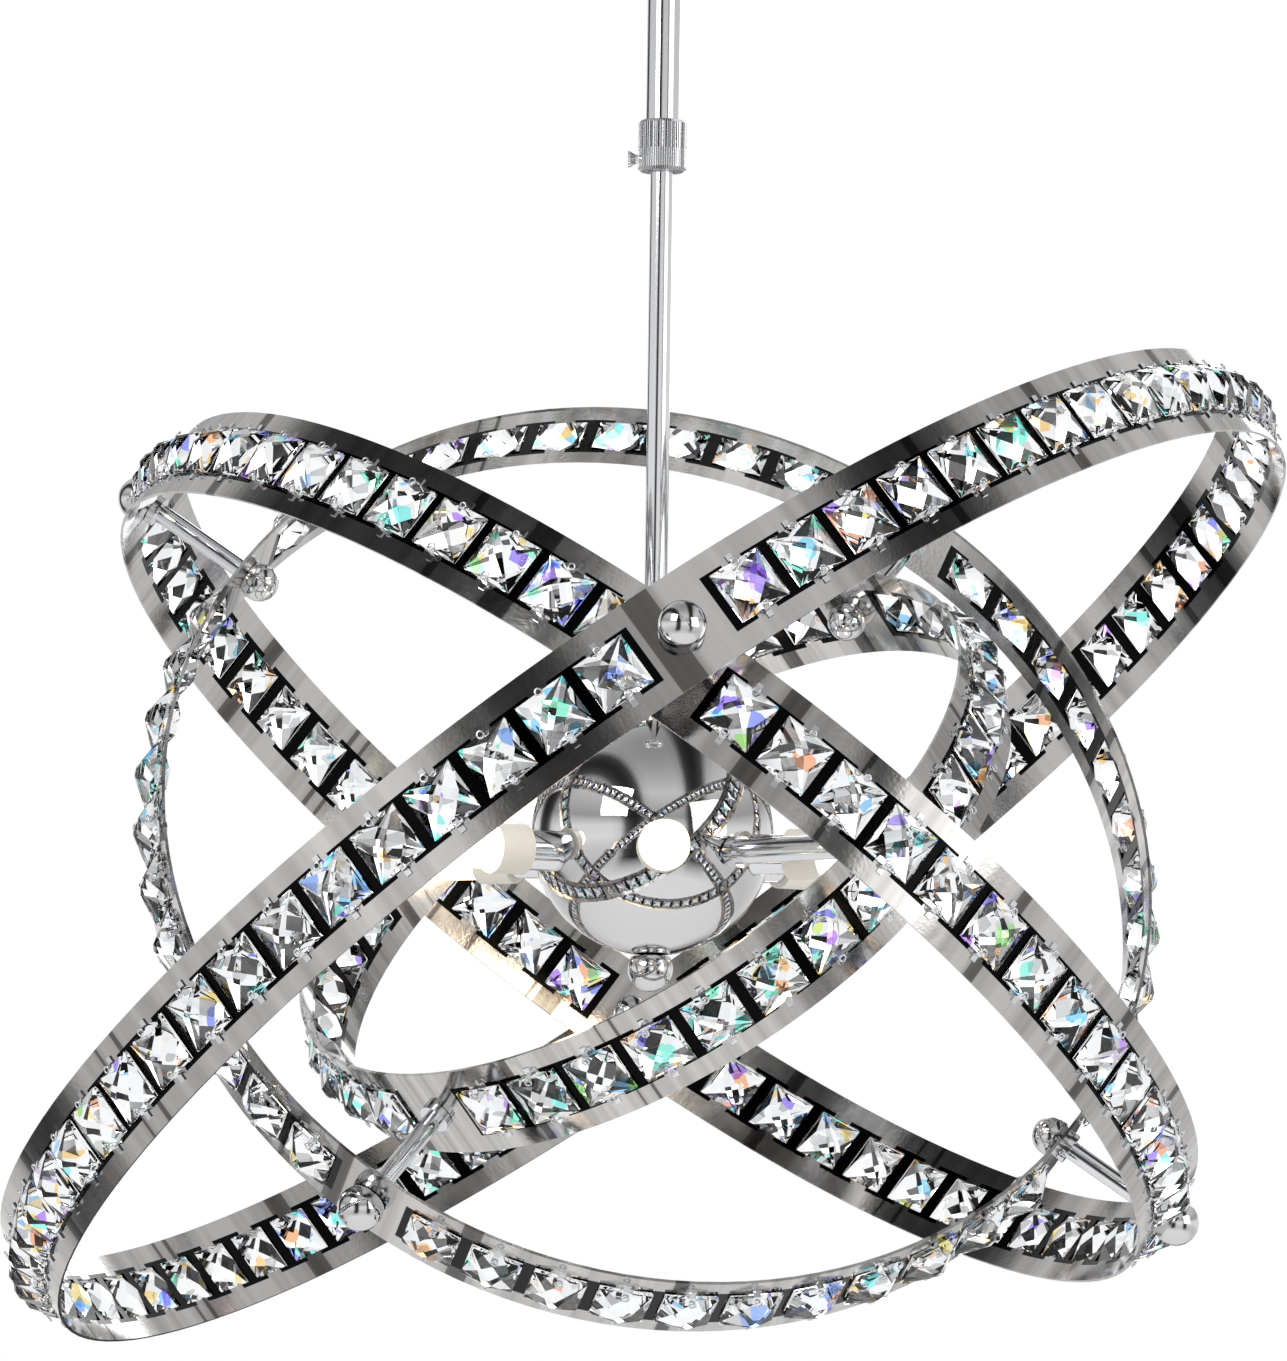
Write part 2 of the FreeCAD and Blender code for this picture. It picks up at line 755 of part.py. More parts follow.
def make_band(index):
    """A hoop of strip with a window behind every crystal and a plain plate at every pivot."""
    inner = ring_radius(index) - band / 2
    outer = ring_radius(index) + band / 2
    half = size("band_width") / 2
    hoop = turned(f"Hoop{index}", ring_outline(inner, outer, -half, half))
    window = block(size("window_width"), size("window_length"), band * 3)
    window.Placement.Base.z = -2 * float(band)
    windows = copies(window, [ring_side(index, angle, 0) for angle in crystal_angles(index)])
    bores = copies(cylinder(thread + running, band * 3, up(-2 * float(band))),
                   [ring_side(index, angle, 0) for angle in (0, 180)])
    strip = cut(cut(hoop, windows), bores)
    if index < len(RING_NAMES) - 1:
        seats = copies(cylinder(thread, band * 3, up(-2 * float(band))),
                       [ring_side(index, angle, 0) for angle in (90, 270)])
        strip = cut(strip, seats)
    return strip


def square(half_side, level):
    return [Vector(x * half_side, y * half_side, level)
            for x, y in ((-1, -1), (1, -1), (1, 1), (-1, 1))]


def diamond(half_diagonal, level):
    """A square turned by 45 degrees, its corners facing the middles of the other square's sides."""
    return [Vector(x * half_diagonal, y * half_diagonal, level)
            for x, y in ((0, -1), (1, 0), (0, 1), (-1, 0))]


def facets_between(base, table):
    """Eight triangles from a square's sides and corners to a diamond table, and the table."""
    faces = []
    for index in range(4):
        following = (index + 1) % 4
        faces.append([base[index], base[following], table[index]])
        faces.append([base[following], table[following], table[index]])
    faces.append(list(table))
    return faces


def crystal_shape():
    """A square stone with its girdle's underside at z = 0, its crown up and its pavilion down."""
    half = float(size("crystal_side")) / 2
    girdle = float(size("girdle_height"))
    top = square(half, girdle)
    bottom = square(half, 0)
    loops = facets_between(top, diamond(float(size("crown_table")),
                                        girdle + float(size("crown_height"))))
    loops += facets_between(bottom, diamond(float(size("pavilion_table")),
                                            -float(size("pavilion_depth"))))
    for index in range(4):
        following = (index + 1) % 4
        loops.append([bottom[index], bottom[following], top[following], top[index]])
    faces = [Part.Face(Part.makePolygon(loop + loop[:1])) for loop in loops]
    return Part.makeSolid(Part.makeShell(faces))


def prong_shape():
    """A bent metal prong: a foot on the strip, an upright beside the stone, a tongue over it."""
    edge = float(size("crystal_side")) / 2 + float(size("prong_gap"))
    thickness = float(size("prong_thickness"))
    girdle_top = float(size("crystal_lift")) + float(size("girdle_height"))
    slope = float(size("crown_height")) / (edge - float(size("crown_table")))
    bend = girdle_top + float(size("prong_gap"))
    reach = float(size("prong_reach"))
    width = float(size("prong_width"))
    outline = [(edge, 0), (edge + float(size("prong_foot")), 0),
               (edge + float(size("prong_foot")), thickness), (edge + thickness, thickness),
               (edge + thickness, bend), (edge - reach, bend + slope * reach + thickness),
               (edge - reach, bend + slope * reach), (edge, bend)]
    corners = [Vector(y, -width / 2, z) for y, z in outline]
    face = Part.Face(Part.makePolygon(corners + corners[:1]))
    return face.extrude(Vector(0, width, 0))


def scattered(shape, places, ring_frame):
    """Copies of a bare shape in a ring's frame, as one feature placed by that frame."""
    solids = []
    for place in places:
        solid = shape.copy()
        solid.Placement = place
        solids.append(solid)
    feature = doc.addObject("Part::Feature", "Scattered")
    feature.Shape = Part.makeCompound(solids)
    feature.Placement = ring_frame
    return feature


def make_ring(index):
    name = RING_NAMES[index]
    frame = ring_place(index)
    node(f"{name}_band", make_band(index), frame)
    lift = float(size("crystal_lift"))
    angles = crystal_angles(index)
    stones = [ring_side(index, angle, lift) for angle in angles]
    node(f"{name}_crystals", scattered(crystal_shape(), stones, frame))
    prongs = [ring_side(index, angle, 0, turn) for angle in angles for turn in (0, 180)]
    node(f"{name}_prongs", scattered(prong_shape(), prongs, frame))


# --- Ring pivots ---------------------------------------------------------------------------------

def make_hub_pivot():
    """The pair of rods from the hub that the first ring tilts on."""
    ways = both_ways(0)
    rod = size("hub_rod_radius")
    strip_inside = ring_radius(0) - band / 2 - float_gap
    strip_outside = ring_radius(0) + band / 2 + float_gap
    end = strip_outside + size("nut_thread_depth")
    shaft = turned("HubRod", [
        (0, size("thread_start")), (thread, size("thread_start")), (thread, core_radius),
        (rod, core_radius), (rod, strip_inside), (thread, strip_inside), (thread, end), (0, end)])
    node("hub_pivot_rods", copies(shaft, ways))
    flange_start = hub_radius + size("hole_clearance")
    flange = turned("HubFlange", ring_outline(rod, size("hub_flange_radius"), flange_start,
                                              flange_start + size("hub_flange_length")))
    node("hub_pivot_flanges", copies(flange, ways))
    washer = turned("HubWasher", ring_outline(rod, rod + size("washer_radius")
                                              - size("rod_radius"),
                                              strip_inside - size("washer_length"), strip_inside))
    node("hub_pivot_washers", copies(washer, ways))
    nut = make_ball_nut(size("outer_ball_radius"), size("ball_offset"), thread)
    node("hub_pivot_ball_nuts", copies(nut, along(ways, strip_outside)))


def make_ring_pivot(index):
    """The pair of rods on one ring that the next ring tilts on."""
    name = f"{RING_NAMES[index]}_pivot"
    ways = both_ways(index + 1)
    rod = size("rod_radius")
    depth = size("nut_thread_depth")
    near_inside = ring_radius(index) - band / 2 - size("seat_gap")
    near_outside = ring_radius(index) + band / 2
    far_inside = ring_radius(index + 1) - band / 2 - float_gap
    far_outside = ring_radius(index + 1) + band / 2 + float_gap
    shaft = turned("RingRod", [
        (0, near_inside - depth), (thread, near_inside - depth), (thread, near_outside),
        (rod, near_outside), (rod, far_inside), (thread, far_inside),
        (thread, far_outside + depth), (0, far_outside + depth)])
    node(f"{name}_rods", copies(shaft, ways))
    washer_length = size("washer_length")
    washer = turned("Washer", ring_outline(rod, size("washer_radius"), 0, washer_length))
    node(f"{name}_washers", copies(washer, along(ways, near_outside)
                                   + along(ways, far_inside - washer_length)))
    small = make_ball_nut(size("inner_ball_radius"), size("ball_offset"), thread)
    inward = [place * Placement(Vector(0, 0, float(near_inside)), Rotation(Vector(1, 0, 0), 180))
              for place in ways]
    node(f"{name}_inner_nuts", copies(small, inward))
    large = make_ball_nut(size("outer_ball_radius"), size("ball_offset"), thread)
    node(f"{name}_outer_nuts", copies(large, along(ways, far_outside)))


# --- Build, check and write ------------------------------------------------------------------------

def check_document():
    doc.recompute()
    for feature in doc.Objects:
        if "Invalid" in feature.State or "Error" in feature.State:
            raise ValueError(f"{feature.Label} did not build: {feature.State}")
    for name, feature in nodes.items():
        if feature.Shape.isNull() or not feature.Shape.isValid():
            raise ValueError(f"{name} has a broken shape")


def write_parts():
    os.makedirs("parts", exist_ok=True)
    for name, feature in nodes.items():
        feature.Shape.exportStep(os.path.join("parts", f"{name}.step"))
        print(f"{name}: {len(feature.Shape.Solids)} solids, {feature.Shape.Volume:.0f} mm3")


make_ceiling_group()
make_stem()
make_sliding_tube()
make_hub_shells()
make_hub_core()
make_lamps()
make_hub_pivot()
for ring in range(len(RING_NAMES)):
    make_ring(ring)
for ring in range(len(RING_NAMES) - 1):
    make_ring_pivot(ring)
check_document()
write_parts()
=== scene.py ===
"""Dresses the orb chandelier: its finishes, the wire eyelets, the studio and the camera.

Lengths are metres. +Z is up, the origin is on the ceiling on the stem's axis, and azimuths run
from -Y, the viewer's side, towards +X.
"""
import json
import logging
import math
from dataclasses import dataclass, field
from enum import Enum

import bpy
import numpy as np
from mathutils import Matrix, Vector


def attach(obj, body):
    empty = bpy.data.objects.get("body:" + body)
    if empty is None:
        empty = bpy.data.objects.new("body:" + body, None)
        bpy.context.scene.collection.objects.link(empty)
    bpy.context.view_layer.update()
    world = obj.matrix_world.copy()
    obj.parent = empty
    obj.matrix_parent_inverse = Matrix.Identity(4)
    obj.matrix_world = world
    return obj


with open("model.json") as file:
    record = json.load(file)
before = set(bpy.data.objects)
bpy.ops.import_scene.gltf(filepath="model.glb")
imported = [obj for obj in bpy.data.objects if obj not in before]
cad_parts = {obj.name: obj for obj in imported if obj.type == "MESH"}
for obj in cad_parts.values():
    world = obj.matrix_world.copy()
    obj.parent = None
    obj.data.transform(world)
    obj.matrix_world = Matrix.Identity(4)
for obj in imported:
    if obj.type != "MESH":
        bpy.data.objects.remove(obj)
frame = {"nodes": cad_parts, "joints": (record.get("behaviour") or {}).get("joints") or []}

logging.basicConfig(level=logging.INFO, format="%(name)s: %(message)s")
log = logging.getLogger("orb_chandelier")

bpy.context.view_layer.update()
RINGS = ("first_ring", "second_ring", "third_ring", "fourth_ring")
MILLIMETRE = 0.001
WHITE = (1.0, 1.0, 1.0)
Colour = tuple[float, float, float]
Stops = tuple[tuple[float, float], ...]

SMUDGE_DETAIL = 3.0
SMUDGE_ROUGHNESS = 0.6
HAIRLINE_FINENESS = 9.0
HAIRLINE_DETAIL = 2.0
FIRE_HUES: Stops = ((0.0, 0.57), (0.45, 0.72), (0.46, 0.02), (0.78, 0.11), (0.79, 0.40),
                    (1.0, 0.52))
FIRE_SATURATION = 0.88


# --- Shader helpers -----------------------------------------------------------------------------

class NodeTree:
    """A thin layer over a node tree that makes, sets and links nodes in one call."""

    def __init__(self, tree: bpy.types.NodeTree) -> None:
        """Start from an empty tree."""
        self.tree = tree
        self.tree.nodes.clear()

    def add(self, kind: str, settings: dict | None = None,
            inputs: dict | None = None) -> bpy.types.Node:
        """Make one node.

        Args:
            kind: Blender's name of the node class.
            settings: attributes to set on the node.
            inputs: socket name or number to a value, or to an output socket that feeds it.

        Returns:
            The new node.
        """
        node = self.tree.nodes.new(kind)
        for name, value in (settings or {}).items():
            setattr(node, name, value)
        return self.feed(node, inputs or {})

    def feed(self, node: bpy.types.Node, inputs: dict) -> bpy.types.Node:
        """Set or link a node's inputs, and return the node."""
        for name, value in inputs.items():
            if isinstance(value, bpy.types.NodeSocket):
                self.tree.links.new(value, node.inputs[name])
            else:
                node.inputs[name].default_value = value
        return node

    def place(self, group: bpy.types.NodeTree, inputs: dict) -> bpy.types.Node:
        """Use a shared group here with its own values."""
        node = self.tree.nodes.new("ShaderNodeGroup")
        node.node_tree = group
        return self.feed(node, inputs)

    def object_coordinates(self) -> bpy.types.NodeSocket:
        """The point's own coordinates, in metres in the shared frame."""
        return self.add("ShaderNodeTexCoord").outputs["Object"]

    def maths(self, operation: str, *values: object) -> bpy.types.NodeSocket:
        """One Math node; its inputs are numbers or output sockets, and its result is returned."""
        inputs = dict(enumerate(values))
        return self.add("ShaderNodeMath", {"operation": operation}, inputs).outputs[0]

    def vector(self, operation: str, *values: object) -> bpy.types.Node:
        """One Vector Math node with its inputs set."""
        return self.add("ShaderNodeVectorMath", {"operation": operation}, dict(enumerate(values)))

    def mix(self, factor: object, first: object, second: object) -> bpy.types.NodeSocket:
        """Blend two colours by a factor and return the result."""
        node = self.add("ShaderNodeMix", {"data_type": "RGBA"},
                        {0: factor, 6: rgba(first), 7: rgba(second)})
        return node.outputs[2]

    def multiply(self, first: object, second: object) -> bpy.types.NodeSocket:
        """Multiply two colours and return the result."""
        node = self.add("ShaderNodeMix", {"data_type": "RGBA", "blend_type": "MULTIPLY"},
                        {0: 1.0, 6: rgba(first), 7: rgba(second)})
        return node.outputs[2]

    def ramp(self, factor: object, stops: Stops) -> bpy.types.NodeSocket:
        """A grey ramp through (position, value) stops; two that lie close make a hard edge."""
        node = self.add("ShaderNodeValToRGB", inputs={0: factor})
        line = node.color_ramp
        while len(line.elements) < len(stops):
            line.elements.new(0.5)
        for element, (place, value) in zip(line.elements, stops):
            element.position = place
            element.color = (value, value, value, 1.0)
        return node.outputs[0]


def rgba(colour: object) -> object:
    """A colour with its alpha, or the socket as it is."""
    return (*colour, 1.0) if isinstance(colour, tuple) else colour


def new_group(name: str, inputs: dict[str, str], outputs: dict[str, str]) -> tuple[
        bpy.types.NodeTree, NodeTree, bpy.types.Node, bpy.types.Node]:
    """A shader node group with named sockets.

    Args:
        name: the group's name.
        inputs: socket name to socket type.
        outputs: socket name to socket type.

    Returns:
        The group, its builder, and its input and output nodes.
    """
    group = bpy.data.node_groups.new(name, "ShaderNodeTree")
    for direction, sockets in (("INPUT", inputs), ("OUTPUT", outputs)):
        for label, kind in sockets.items():
            group.interface.new_socket(label, in_out=direction, socket_type=kind)
    tree = NodeTree(group)
    return group, tree, tree.add("NodeGroupInput"), tree.add("NodeGroupOutput")


FLOAT = "NodeSocketFloat"
VECTOR = "NodeSocketVector"
COLOUR = "NodeSocketColor"


def handling_marks() -> bpy.types.NodeTree:
    """Faint smudges and hairlines of polished metal.

    Returns:
        A group that turns Object coordinates into a roughness offset and a bump height.
    """
    group, tree, source, sink = new_group(
        "handling_marks", {"Coordinates": VECTOR, "Scale": FLOAT},
        {"Smudge": FLOAT, "Hairline": FLOAT})
    smudge = tree.add("ShaderNodeTexNoise", inputs={
        "Vector": source.outputs["Coordinates"], "Scale": source.outputs["Scale"],
        "Detail": SMUDGE_DETAIL, "Roughness": SMUDGE_ROUGHNESS})
    finer = tree.maths("MULTIPLY", source.outputs["Scale"], HAIRLINE_FINENESS)
    hairline = tree.add("ShaderNodeTexNoise", inputs={
        "Vector": source.outputs["Coordinates"], "Scale": finer, "Detail": HAIRLINE_DETAIL})
    tree.feed(sink, {"Smudge": smudge.outputs[0], "Hairline": hairline.outputs[0]})
    return group


def strip_position() -> bpy.types.NodeTree:
    """Where a point of a hoop lies: across the strip, and along it from the nearest crystal.

    Across is the dot product with the hoop's axle. The ring angle is the arctangent of the dot
    products with the hoop's two other axes. Folded into one arc and counted in pitches from the
    arc's middle, it gives the place in the crystals' row.

    Returns:
        A group with the place across in metres, the place along in pitches from the nearest
        crystal, the pitches from mid-arc, and the ring angle in radians.
    """
    group, tree, source, sink = new_group(
        "strip_position",
        {"Coordinates": VECTOR, "Centre": VECTOR, "Pivot": VECTOR, "Side": VECTOR, "Axle": VECTOR,
         "Arc": FLOAT, "Pitch": FLOAT, "Offset": FLOAT},
        {"Across": FLOAT, "Along": FLOAT, "From middle": FLOAT, "Angle": FLOAT})
    place = tree.vector("SUBTRACT", source.outputs["Coordinates"], source.outputs["Centre"])
    offset = place.outputs[0]
    dots = {name: tree.vector("DOT_PRODUCT", offset, source.outputs[name]).outputs["Value"]
            for name in ("Pivot", "Side", "Axle")}
    angle = tree.maths("ARCTAN2", dots["Side"], dots["Pivot"])
    folded = tree.maths("FLOORED_MODULO", angle, source.outputs["Arc"])
    middle = tree.maths("SUBTRACT", folded, tree.maths("MULTIPLY", source.outputs["Arc"], 0.5))
    pitches = tree.maths("DIVIDE", middle, source.outputs["Pitch"])
    shifted = tree.maths("ADD", pitches, source.outputs["Offset"])
    along = tree.maths("SUBTRACT", shifted, tree.maths("ROUND", shifted))
    tree.feed(sink, {"Across": dots["Axle"], "Along": along,
                     "From middle": tree.maths("ABSOLUTE", pitches), "Angle": angle})
    return group


def crystal_fire() -> bpy.types.NodeTree:
    """Patches of pure colour in cut glass, where light splits on its way through.

    A cell pattern picks which small patches are tinted. Its cell colour gives their hue, mostly
    blue and violet, then orange, and last a green.

    Returns:
        A group that turns coordinates into a tint, a mask of where it lies, and a random value
        for each cell that the finish turns into painted shade on darker facets.
    """
    group, tree, source, sink = new_group(
        "crystal_fire", {"Coordinates": VECTOR, "Scale": FLOAT, "Share": FLOAT},
        {"Tint": COLOUR, "Cover": FLOAT, "Shade": FLOAT})
    cells = tree.add("ShaderNodeTexVoronoi", {"feature": "F1"}, {
        "Vector": source.outputs["Coordinates"], "Scale": source.outputs["Scale"]})
    parts = tree.add("ShaderNodeSeparateColor", inputs={0: cells.outputs["Color"]})
    spread = tree.ramp(parts.outputs[0], FIRE_HUES)
    hue = tree.add("ShaderNodeCombineColor", {"mode": "HSV"},
                   {0: spread, 1: FIRE_SATURATION, 2: 1.0})
    cover = tree.maths("LESS_THAN", parts.outputs[1], source.outputs["Share"])
    tree.feed(sink, {"Tint": hue.outputs[0], "Cover": cover, "Shade": parts.outputs[2]})
    return group


class Groups:
    """The node groups that several finishes share, built once."""

    def __init__(self) -> None:
        """Build every group."""
        self.marks = handling_marks()
        self.strip = strip_position()
        self.fire = crystal_fire()


# --- Finishes -----------------------------------------------------------------------------------

def new_material(name: str) -> tuple[bpy.types.Material, NodeTree]:
    """An empty node material and its builder."""
    material = bpy.data.materials.new(name)
    material.use_nodes = True
    return material, NodeTree(material.node_tree)


def finish_with(tree: NodeTree, inputs: dict) -> None:
    """Put a Principled shader with these inputs on the material's output."""
    shader = tree.add("ShaderNodeBsdfPrincipled", inputs=inputs)
    tree.add("ShaderNodeOutputMaterial", inputs={"Surface": shader.outputs[0]})


@dataclass(frozen=True)
class MetalFinish:
    """A polished or brushed metal with handling marks."""

    name: str
    colour: Colour
    roughness: float
    smudge: float
    marks_scale: float = 60.0
    bump: float = 0.01

    def build(self, groups: Groups) -> bpy.types.Material:
        """Make the material."""
        material, tree = new_material(self.name)
        place = tree.object_coordinates()
        marks = tree.place(groups.marks, {"Coordinates": place, "Scale": self.marks_scale})
        rough = tree.maths("MULTIPLY_ADD", marks.outputs["Smudge"], self.smudge, self.roughness)
        bump = tree.add("ShaderNodeBump", inputs={
            "Strength": self.bump, "Distance": MILLIMETRE, "Height": marks.outputs["Hairline"]})
        finish_with(tree, {"Base Color": rgba(self.colour), "Metallic": 1.0,
                           "Roughness": rough, "Normal": bump.outputs[0]})
        return material


@dataclass(frozen=True)
class KnurledFinish:
    """Chrome with a straight knurl cut round the stem's axis, and painted shade in its grooves."""

    name: str = "knurled_chrome"
    colour: Colour = (0.80, 0.81, 0.83)
    teeth: int = 64
    depth: float = 0.6 * MILLIMETRE
    strength: float = 0.8
    # Painted shade, darkest at the bottom of each groove.
    painted_groove_shade: Stops = ((0.0, 0.25), (0.45, 1.0))
    roughness: float = 0.1
    smudge: float = 0.1
    marks_scale: float = 80.0

    def build(self, groups: Groups) -> bpy.types.Material:
        """Make the material: the height is a cosine of the azimuth times the number of teeth."""
        material, tree = new_material(self.name)
        place = tree.object_coordinates()
        marks = tree.place(groups.marks, {"Coordinates": place, "Scale": self.marks_scale})
        parts = tree.add("ShaderNodeSeparateXYZ", inputs={0: place}).outputs
        azimuth = tree.maths("ARCTAN2", parts[0], parts[1])
        ridge = tree.maths("COSINE", tree.maths("MULTIPLY", azimuth, float(self.teeth)))
        bump = tree.add("ShaderNodeBump", inputs={
            "Strength": self.strength, "Distance": self.depth, "Height": ridge})
        # Painted shade: the colour darkens towards the bottom of each groove.
        painted_groove_shade = tree.ramp(tree.maths("MULTIPLY_ADD", ridge, 0.5, 0.5), self.painted_groove_shade)
        colour = tree.multiply(self.colour, painted_groove_shade)
        rough = tree.maths("MULTIPLY_ADD", marks.outputs["Smudge"], self.smudge, self.roughness)
        finish_with(tree, {"Base Color": colour, "Metallic": 1.0, "Roughness": rough,
                           "Normal": bump.outputs[0]})
        return material


@dataclass(frozen=True)
class MouldedFinish:
    """A matt moulded or fired material with a fine speckle."""

    name: str
    colour: Colour
    speckle: Colour
    roughness: float
    smudge: float = 0.1
    marks_scale: float = 300.0

    def build(self, groups: Groups) -> bpy.types.Material:
        """Make the material."""
        material, tree = new_material(self.name)
        place = tree.object_coordinates()
        marks = tree.place(groups.marks, {"Coordinates": place, "Scale": self.marks_scale})
        colour = tree.mix(marks.outputs["Hairline"], self.colour, self.speckle)
        rough = tree.maths("MULTIPLY_ADD", marks.outputs["Smudge"], self.smudge, self.roughness)
        finish_with(tree, {"Base Color": colour, "Roughness": rough})
        return material


@dataclass(frozen=True)
class StripFinish:
    """Chromed strip: painted reflections along the rails, and painted shade round the crystals.

    The reflections are streaks of light and dark painted across the rails. A point is painted
    black, as shade, where it lies in the crystals' row, nearer the strip's middle line than the
    shade's half width, and not under the metal tab, which stays light, at a crystal's side.
    """

    name: str
    ring: "RingFrame"
    # Painted reflections: the strip's colour runs between these two in streaks.
    lit_reflection: Colour = (0.66, 0.645, 0.63)
    dark_reflection: Colour = (0.12, 0.115, 0.11)
    # Painted shade: the black that stands in for the shade round the crystals.
    painted_shade: Colour = (0.006, 0.006, 0.006)
    painted_shade_half_width: float = 0.0121
    tab_half_length: float = 0.0042
    tab_start: float = 0.0102
    row_margin: float = 0.04
    block_scale: float = 9.0
    block_detail: float = 3.0
    block_roughness: float = 0.7
    block_levels: Stops = ((0.30, 0.0), (0.385, 0.10), (0.39, 0.62), (0.60, 1.0))
    roughness: float = 0.06
    smudge: float = 0.10
    bump: float = 0.02
    marks_scale: float = 70.0

    def build(self, groups: Groups) -> bpy.types.Material:
        """Make the material for one hoop."""
        material, tree = new_material(self.name)
        ring = self.ring
        place = tree.object_coordinates()
        spot = tree.place(groups.strip, {
            "Coordinates": place, "Centre": ring.centre, "Pivot": ring.pivot, "Side": ring.side,
            "Axle": ring.axle, "Arc": 2 * math.pi / ring.arcs, "Pitch": ring.pitch_angle,
            "Offset": 0.5 if ring.count % 2 == 0 else 0.0})
        across = tree.maths("ABSOLUTE", spot.outputs["Across"])
        along = tree.maths("MULTIPLY", tree.maths("ABSOLUTE", spot.outputs["Along"]), ring.pitch)
        in_row = tree.maths("LESS_THAN", spot.outputs["From middle"],
                            ring.count / 2 + self.row_margin)
        in_width = tree.maths("LESS_THAN", across, self.painted_shade_half_width)
        beside_tab = tree.maths("GREATER_THAN", along, self.tab_half_length)
        under_tab = tree.maths("LESS_THAN", across, self.tab_start)
        # Where the painted shade lies: in the crystals' row, within its half width, beside the
        # tabs.
        dark = tree.maths("MULTIPLY", tree.maths("MULTIPLY", in_row, in_width),
                          tree.maths("MAXIMUM", beside_tab, under_tab))
        reflection_streaks = self.reflection_streaks(tree, spot)
        marks = tree.place(groups.marks, {"Coordinates": place, "Scale": self.marks_scale})
        # Painted reflections: dark and light streaks in the chrome's colour.
        metal = tree.mix(reflection_streaks, self.dark_reflection, self.lit_reflection)
        # Painted shade: black laid over the streaked metal round the crystals.
        colour = tree.mix(dark, metal, self.painted_shade)
        rough = tree.maths("MULTIPLY_ADD", marks.outputs["Smudge"], self.smudge, self.roughness)
        bump = tree.add("ShaderNodeBump", inputs={
            "Strength": self.bump, "Distance": MILLIMETRE, "Height": marks.outputs["Hairline"]})
        finish_with(tree, {"Base Color": colour, "Metallic": 1.0, "Roughness": rough,
                           "Normal": bump.outputs[0]})
        return material

    def reflection_streaks(self, tree: NodeTree, spot: bpy.types.Node) -> bpy.types.NodeSocket:
        """Painted reflections: streaks that run straight across the strip, from noise on the ring
        angle alone.

        Args:
            tree: the material's builder.
            spot: the strip position group's node.

        Returns:
            A value from 0, the dark reflection, to 1, the lit one.
        """
        slow = tree.add("ShaderNodeTexNoise", {"noise_dimensions": "1D"},
                        {"W": spot.outputs["Angle"], "Scale": self.block_scale,
                         "Detail": self.block_detail, "Roughness": self.block_roughness})
        return tree.ramp(slow.outputs[0], self.block_levels)


@dataclass(frozen=True)
class CrystalFinish:
    """Cut glass with painted patches of spectral colour and painted darker facets."""

    name: str = "cut_crystal"
    clear: Colour = (0.97, 0.985, 1.0)
    refraction: float = 1.43
    patch_scale: float = 170.0
    share: float = 0.085
    painted_facet_shades: Stops = ((0.0, 0.35), (0.08, 0.5), (0.12, 1.0))

    def build(self, groups: Groups) -> bpy.types.Material:
        """Make the material."""
        material, tree = new_material(self.name)
        place = tree.object_coordinates()
        fire = tree.place(groups.fire, {
            "Coordinates": place, "Scale": self.patch_scale, "Share": self.share})
        # Painted shade: random cells of the glass are darkened into darker facets.
        grey = tree.multiply(self.clear, tree.ramp(fire.outputs["Shade"], self.painted_facet_shades))
        # Painted light: spectral patches of fire where light splits.
        colour = tree.mix(fire.outputs["Cover"], grey, fire.outputs["Tint"])
        finish_with(tree, {"Base Color": colour, "Roughness": 0.0, "IOR": self.refraction,
                           "Transmission Weight": 1.0})
        return material


@dataclass(frozen=True)
class LitGlassFinish:
    """A capsule bulb that is on: palest where it faces the eye, and orange towards its rim."""

    name: str = "lit_bulb"
    core: Colour = (1.0, 0.92, 0.74)
    rim: Colour = (1.0, 0.46, 0.10)
    strength: float = 6.0
    facing_blend: float = 0.35
    roughness: float = 0.1
    smudge: float = 0.1
    marks_scale: float = 90.0

    def build(self, groups: Groups) -> bpy.types.Material:
        """Make the material."""
        material, tree = new_material(self.name)
        place = tree.object_coordinates()
        marks = tree.place(groups.marks, {"Coordinates": place, "Scale": self.marks_scale})
        weight = tree.add("ShaderNodeLayerWeight", inputs={"Blend": self.facing_blend})
        colour = tree.mix(weight.outputs["Facing"], self.core, self.rim)
        rough = tree.maths("MULTIPLY_ADD", marks.outputs["Smudge"], self.smudge, self.roughness)
        finish_with(tree, {"Base Color": rgba(self.core), "Roughness": rough,
                           "Emission Color": colour, "Emission Strength": self.strength})
        return material


# --- The hoops ----------------------------------------------------------------------------------

@dataclass(frozen=True)
class RingFrame:
    """One hoop's axes and its row of crystals."""

    name: str
    centre: tuple[float, float, float]
    pivot: tuple[float, float, float]
    side: tuple[float, float, float]
    axle: tuple[float, float, float]
    radius: float
    arcs: int
    count: int
    pitch: float

    @property
    def pitch_angle(self) -> float:
        """The angle between two neighbouring crystals."""
        return self.pitch / self.radius

    def angles(self) -> np.ndarray:
        """The ring angles of all crystals, centred on each arc."""
        span = 2 * math.pi / self.arcs
        steps = (np.arange(self.count) - (self.count - 1) / 2) * self.pitch_angle
        return (span * (np.arange(self.arcs)[:, None] + 0.5) + steps[None, :]).ravel()

    def world(self, local: np.ndarray) -> np.ndarray:
        """Carry points from the hoop's own axes into the shared frame."""
        axes = np.array([self.pivot, self.side, self.axle])
        return local @ axes + np.array(self.centre)


